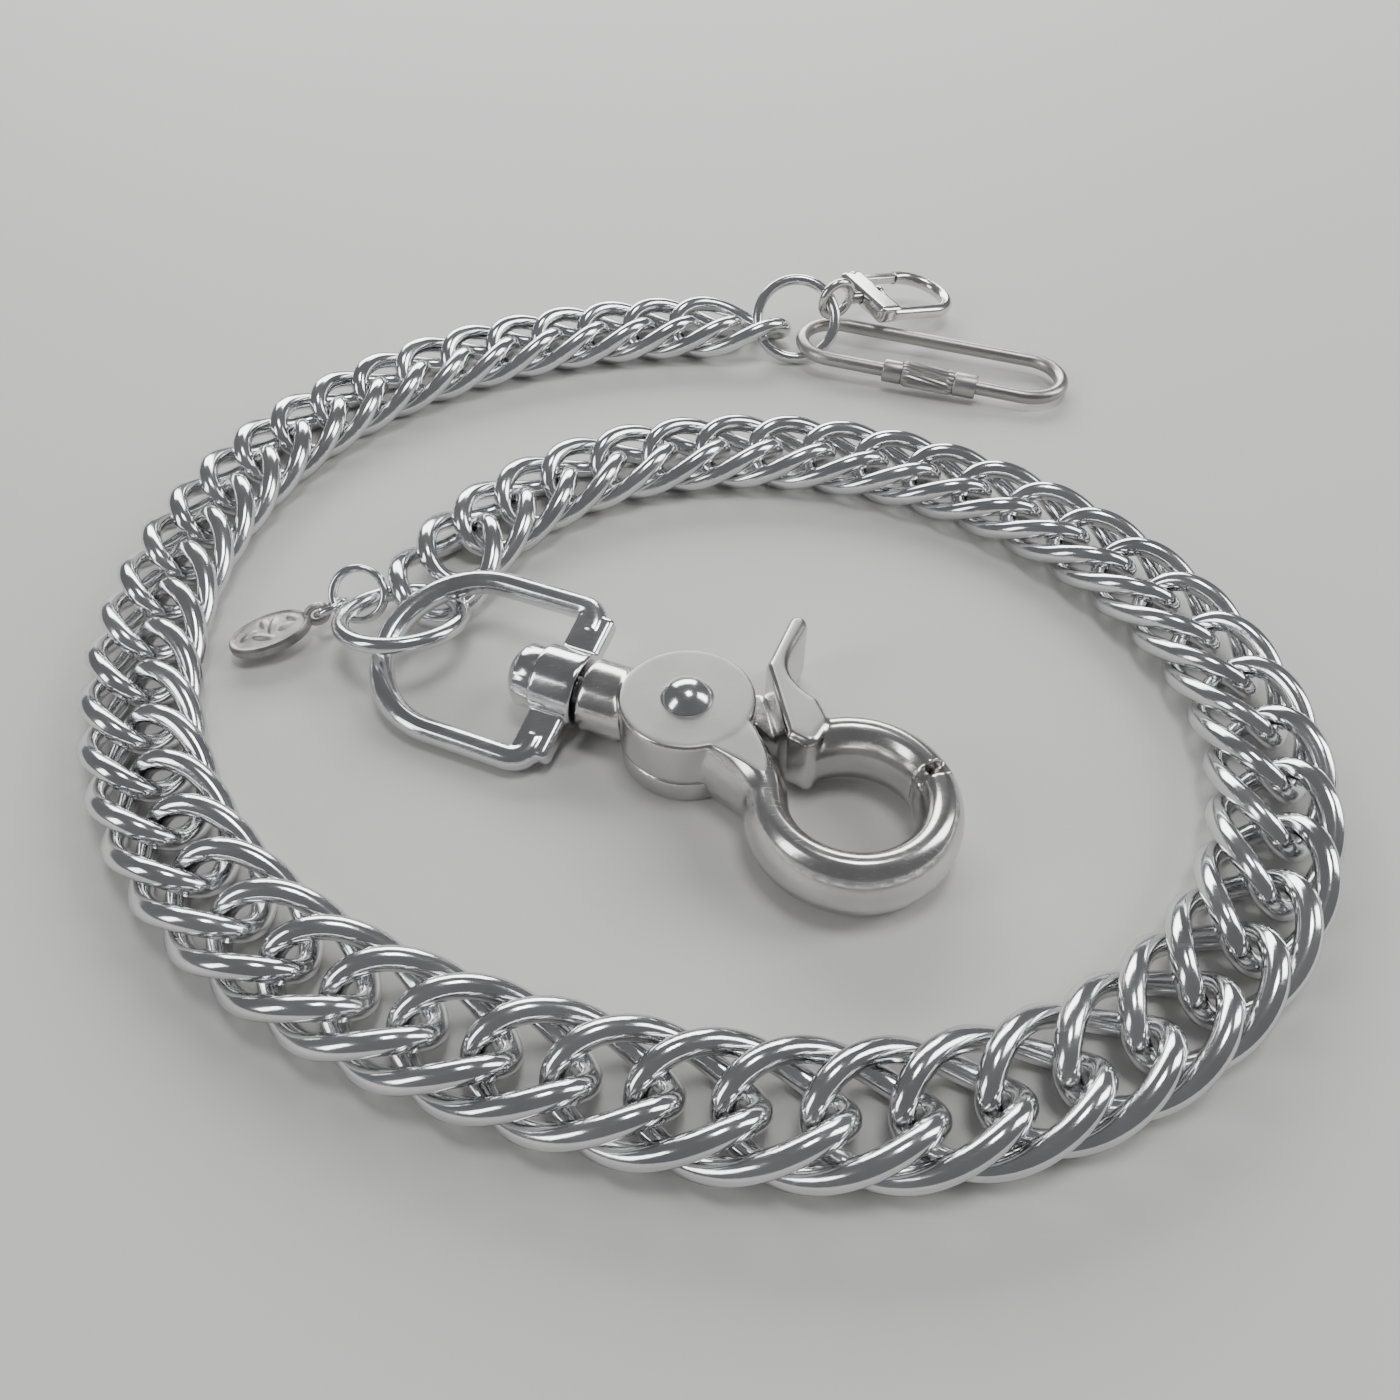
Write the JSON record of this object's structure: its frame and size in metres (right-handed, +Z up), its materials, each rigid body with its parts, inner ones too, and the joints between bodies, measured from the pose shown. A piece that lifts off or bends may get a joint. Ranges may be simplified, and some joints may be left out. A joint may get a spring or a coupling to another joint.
{
  "type": "wallet chain",
  "caption": "Steel wallet chain of twisted curb links with a trigger snap and D-ring at one end, a small spring clip and a screw link at the other, and a small oval charm.",
  "frame": {"origin": "Middle of the bounding box in X and Y, at the bottom of the part, which is the surface it lies on.", "axes": "+Z up out of the surface. +X to the right and +Y away from the viewer, with the trigger snap in the middle of the coil and the open end of the chain at the back."},
  "size_m": [0.1328, 0.1464, 0.0106],
  "materials": {
    "chain_steel": "polished plated steel, bright with small wear marks",
    "ring_steel": "polished plated steel rings",
    "snap_steel": "polished plated zinc casting with a satin flat head",
    "clip_nickel": "bright plated, softly rounded",
    "satin_nickel": "satin nickel, slightly grey",
    "pewter": "cast pewter with darkened hollows",
    "spring_steel": "drawn spring wire"
  },
  "bodies": {
    "hook": {"hook_body": "snap_steel", "pivot_rivet": "snap_steel", "gate_spring": "spring_steel", "swivel_post": "ring_steel"},
    "gate": {"gate_lever": "snap_steel"},
    "d_ring": {"d_ring": "ring_steel"},
    "connector": {"connector_ring": "ring_steel"},
    "tag_ring": {"tag_ring": "ring_steel"},
    "tag_link": {"tag_link": "ring_steel"},
    "tag": {"tag_plate": "pewter"},
    "end_ring": {"end_ring": "ring_steel"},
    "clip_eye": {"clip_eye": "clip_nickel"},
    "clip": {"clip_body": "clip_nickel", "clip_pin": "clip_nickel"},
    "clip_gate": {"clip_gate": "clip_nickel"},
    "screw": {"screw_frame": "satin_nickel"},
    "nut": {"screw_sleeve": "satin_nickel"},
    "chain_01": {"chain_01": "chain_steel"},
    "chain_02": {"chain_02": "chain_steel"},
    "chain_03": {"chain_03": "chain_steel"},
    "chain_04": {"chain_04": "chain_steel"},
    "chain_05": {"chain_05": "chain_steel"},
    "chain_06": {"chain_06": "chain_steel"},
    "chain_07": {"chain_07": "chain_steel"},
    "chain_08": {"chain_08": "chain_steel"},
    "chain_09": {"chain_09": "chain_steel"},
    "chain_10": {"chain_10": "chain_steel"},
    "chain_11": {"chain_11": "chain_steel"},
    "chain_12": {"chain_12": "chain_steel"},
    "chain_13": {"chain_13": "chain_steel"},
    "chain_14": {"chain_14": "chain_steel"},
    "chain_15": {"chain_15": "chain_steel"},
    "chain_16": {"chain_16": "chain_steel"},
    "chain_17": {"chain_17": "chain_steel"},
    "chain_18": {"chain_18": "chain_steel"},
    "chain_19": {"chain_19": "chain_steel"},
    "chain_20": {"chain_20": "chain_steel"},
    "chain_21": {"chain_21": "chain_steel"},
    "chain_22": {"chain_22": "chain_steel"},
    "chain_23": {"chain_23": "chain_steel"},
    "chain_24": {"chain_24": "chain_steel"},
    "chain_25": {"chain_25": "chain_steel"},
    "chain_26": {"chain_26": "chain_steel"},
    "chain_27": {"chain_27": "chain_steel"},
    "chain_28": {"chain_28": "chain_steel"},
    "chain_29": {"chain_29": "chain_steel"},
    "chain_30": {"chain_30": "chain_steel"}
  },
  "joints": [
    {"name": "gate_open", "type": "hinge", "parent": "hook", "child": "gate", "pos_m": [0.001, -0.02605, 0.00417], "axis": [0, 0, 1], "range_deg": [0, 28], "stiffness_Nm_per_rad": 0.02, "springref_deg": -17.19},
    {"name": "d_ring_swivel", "type": "hinge", "parent": "hook", "child": "d_ring", "pos_m": [-0.01207, -0.0205, 0.00417], "axis": [0.9205, -0.3907, 0], "continuous": true},
    {"name": "connector_swing", "type": "hinge", "parent": "d_ring", "child": "connector", "pos_m": [-0.03101, -0.01054, 0.00468], "axis": [0.5383, 0.798, 0.2709], "range_deg": [0, 20]},
    {"name": "charm_ring_swing", "type": "hinge", "parent": "connector", "child": "tag_ring", "pos_m": [-0.03676, -0.00648, 0.00354], "axis": [-0.5674, -0.7968, 0.2081], "range_deg": [-3, 24]},
    {"name": "charm_link_swing", "type": "hinge", "parent": "tag_ring", "child": "tag_link", "pos_m": [-0.03867, -0.00631, 0.00372], "axis": [-0.0126, 0.8998, -0.4362], "range_deg": [-12, 12]},
    {"name": "charm_swing", "type": "hinge", "parent": "tag_link", "child": "tag", "pos_m": [-0.04192, -0.00726, 0.00251], "axis": [0.1074, -0.8746, 0.4727], "range_deg": [-30, 9]},
    {"name": "chain_start_swing", "type": "hinge", "parent": "connector", "child": "chain_01", "pos_m": [-0.0294, -0.00393, 0.00292], "axis": [-0.9609, 0.2651, -0.08], "range_deg": [-2.5, 2.5]},
    {"name": "link_fold_01", "type": "hinge", "parent": "chain_01", "child": "chain_02", "pos_m": [-0.0228, 0.00973, 0.00312], "axis": [-0.8064, 0.5913, 0], "range_deg": [-2.5, 2.5]},
    {"name": "link_bend_02", "type": "hinge", "parent": "chain_02", "child": "chain_03", "pos_m": [-0.01254, 0.01905, 0.00312], "axis": [0, 0, 1], "range_deg": [-2, 4]},
    {"name": "link_fold_03", "type": "hinge", "parent": "chain_03", "child": "chain_04", "pos_m": [0.00053, 0.02372, 0.00312], "axis": [0.165, -0.9863, 0], "range_deg": [-5.5, 5.5]},
    {"name": "link_bend_04", "type": "hinge", "parent": "chain_04", "child": "chain_05", "pos_m": [0.01446, 0.02409, 0.00312], "axis": [0, 0, -1], "range_deg": [-3, 5]},
    {"name": "link_fold_05", "type": "hinge", "parent": "chain_05", "child": "chain_06", "pos_m": [0.02794, 0.0206, 0.00312], "axis": [0.3827, 0.9239, 0], "range_deg": [-6, 6]},
    {"name": "link_bend_06", "type": "hinge", "parent": "chain_06", "child": "chain_07", "pos_m": [0.03999, 0.01359, 0.00312], "axis": [0, 0, 1], "range_deg": [-5, 7.5]},
    {"name": "link_fold_07", "type": "hinge", "parent": "chain_07", "child": "chain_08", "pos_m": [0.04981, 0.00369, 0.00312], "axis": [-0.796, -0.6053, 0], "range_deg": [-7, 7]},
    {"name": "link_bend_08", "type": "hinge", "parent": "chain_08", "child": "chain_09", "pos_m": [0.05672, -0.00841, 0.00312], "axis": [0, 0, -1], "range_deg": [-10, 4]},
    {"name": "link_fold_09", "type": "hinge", "parent": "chain_09", "child": "chain_10", "pos_m": [0.05989, -0.02195, 0.00312], "axis": [0.9981, 0.0611, 0], "range_deg": [-4.5, 4.5]},
    {"name": "link_bend_10", "type": "hinge", "parent": "chain_10", "child": "chain_11", "pos_m": [0.05832, -0.03576, 0.00312], "axis": [0, 0, 1], "range_deg": [-1.5, 10]},
    {"name": "link_fold_11", "type": "hinge", "parent": "chain_11", "child": "chain_12", "pos_m": [0.05212, -0.04819, 0.00312], "axis": [-0.8039, 0.5948, 0], "range_deg": [-4.5, 4.5]},
    {"name": "link_bend_12", "type": "hinge", "parent": "chain_12", "child": "chain_13", "pos_m": [0.04219, -0.05793, 0.00312], "axis": [0, 0, -1], "range_deg": [-10, 1.5]},
    {"name": "link_fold_13", "type": "hinge", "parent": "chain_13", "child": "chain_14", "pos_m": [0.02981, -0.06431, 0.00312], "axis": [0.3214, -0.9469, 0], "range_deg": [-5.5, 5.5]},
    {"name": "link_bend_14", "type": "hinge", "parent": "chain_14", "child": "chain_15", "pos_m": [0.01611, -0.06678, 0.00312], "axis": [0, 0, 1], "range_deg": [-1.5, 10]},
    {"name": "link_fold_15", "type": "hinge", "parent": "chain_15", "child": "chain_16", "pos_m": [0.00217, -0.06582, 0.00312], "axis": [0.1478, 0.989, 0], "range_deg": [-9, 9]},
    {"name": "link_bend_16", "type": "hinge", "parent": "chain_16", "child": "chain_17", "pos_m": [-0.01148, -0.0628, 0.00312], "axis": [0, 0, -1], "range_deg": [-10, 1.5]},
    {"name": "link_fold_17", "type": "hinge", "parent": "chain_17", "child": "chain_18", "pos_m": [-0.02458, -0.0579, 0.00312], "axis": [-0.4147, -0.91, 0], "range_deg": [-9, 9]},
    {"name": "link_bend_18", "type": "hinge", "parent": "chain_18", "child": "chain_19", "pos_m": [-0.03662, -0.05084, 0.00312], "axis": [0, 0, 1], "range_deg": [-1.5, 10]},
    {"name": "link_fold_19", "type": "hinge", "parent": "chain_19", "child": "chain_20", "pos_m": [-0.04666, -0.04115, 0.00312], "axis": [0.7771, 0.6293, 0], "range_deg": [-7, 7]},
    {"name": "link_bend_20", "type": "hinge", "parent": "chain_20", "child": "chain_21", "pos_m": [-0.05405, -0.02933, 0.00312], "axis": [0, 0, -1], "range_deg": [-10, 5]},
    {"name": "link_fold_21", "type": "hinge", "parent": "chain_21", "child": "chain_22", "pos_m": [-0.0585, -0.0161, 0.00312], "axis": [-0.9763, -0.2164, 0], "range_deg": [-8, 8]},
    {"name": "link_bend_22", "type": "hinge", "parent": "chain_22", "child": "chain_23", "pos_m": [-0.06008, -0.00223, 0.00312], "axis": [0, 0, 1], "range_deg": [-7, 10]},
    {"name": "link_fold_23", "type": "hinge", "parent": "chain_23", "child": "chain_24", "pos_m": [-0.05875, 0.01167, 0.00312], "axis": [0.9799, -0.1994, 0], "range_deg": [-8, 8]},
    {"name": "link_bend_24", "type": "hinge", "parent": "chain_24", "child": "chain_25", "pos_m": [-0.05434, 0.0249, 0.00312], "axis": [0, 0, -1], "range_deg": [-10, 6]},
    {"name": "link_fold_25", "type": "hinge", "parent": "chain_25", "child": "chain_26", "pos_m": [-0.04669, 0.03656, 0.00312], "axis": [-0.7576, 0.6528, 0], "range_deg": [-7, 7]},
    {"name": "link_bend_26", "type": "hinge", "parent": "chain_26", "child": "chain_27", "pos_m": [-0.03629, 0.04584, 0.00312], "axis": [0, 0, 1], "range_deg": [-6, 10]},
    {"name": "link_fold_27", "type": "hinge", "parent": "chain_27", "child": "chain_28", "pos_m": [-0.02397, 0.05239, 0.00312], "axis": [0.3786, -0.9255, 0], "range_deg": [-8, 8]},
    {"name": "link_bend_28", "type": "hinge", "parent": "chain_28", "child": "chain_29", "pos_m": [-0.01059, 0.05642, 0.00312], "axis": [0, 0, -1], "range_deg": [-10, 7]},
    {"name": "link_fold_29", "type": "hinge", "parent": "chain_29", "child": "chain_30", "pos_m": [0.00331, 0.05782, 0.00312], "axis": [-0.0044, 1, 0], "range_deg": [-8, 8]},
    {"name": "end_ring_swing", "type": "hinge", "parent": "chain_30", "child": "end_ring", "pos_m": [0.01525, 0.05747, 0.00312], "axis": [0.0303, 0.694, -0.7193], "range_deg": [-40, 60]},
    {"name": "clip_swing", "type": "hinge", "parent": "end_ring", "child": "clip_eye", "pos_m": [0.02224, 0.05835, 0.0072], "axis": [-0.4448, 0.6291, 0.6375], "range_deg": [-60, 0]},
    {"name": "clip_swivel", "type": "hinge", "parent": "clip_eye", "child": "clip", "pos_m": [0.0286, 0.0622, 0.00592], "axis": [0.8349, 0.5096, -0.2079], "range_deg": [-90, 0]},
    {"name": "clip_gate_open", "type": "hinge", "parent": "clip", "child": "clip_gate", "pos_m": [0.02605, 0.06659, 0.00644], "axis": [-0.2309, -0.0185, -0.9728], "range_deg": [0, 20], "stiffness_Nm_per_rad": 0.004, "springref_deg": -17.19},
    {"name": "screw_link_swing", "type": "hinge", "parent": "end_ring", "child": "screw", "pos_m": [0.01791, 0.05458, 0.003], "axis": [-0.0977, -0.9952, -0.0073], "range_deg": [-15, 0]},
    {"name": "sleeve_slide", "type": "slide", "parent": "screw", "child": "nut", "axis": [-0.9521, 0.3039, 0.0349], "range_m": [0, 0.008]}
  ]
}
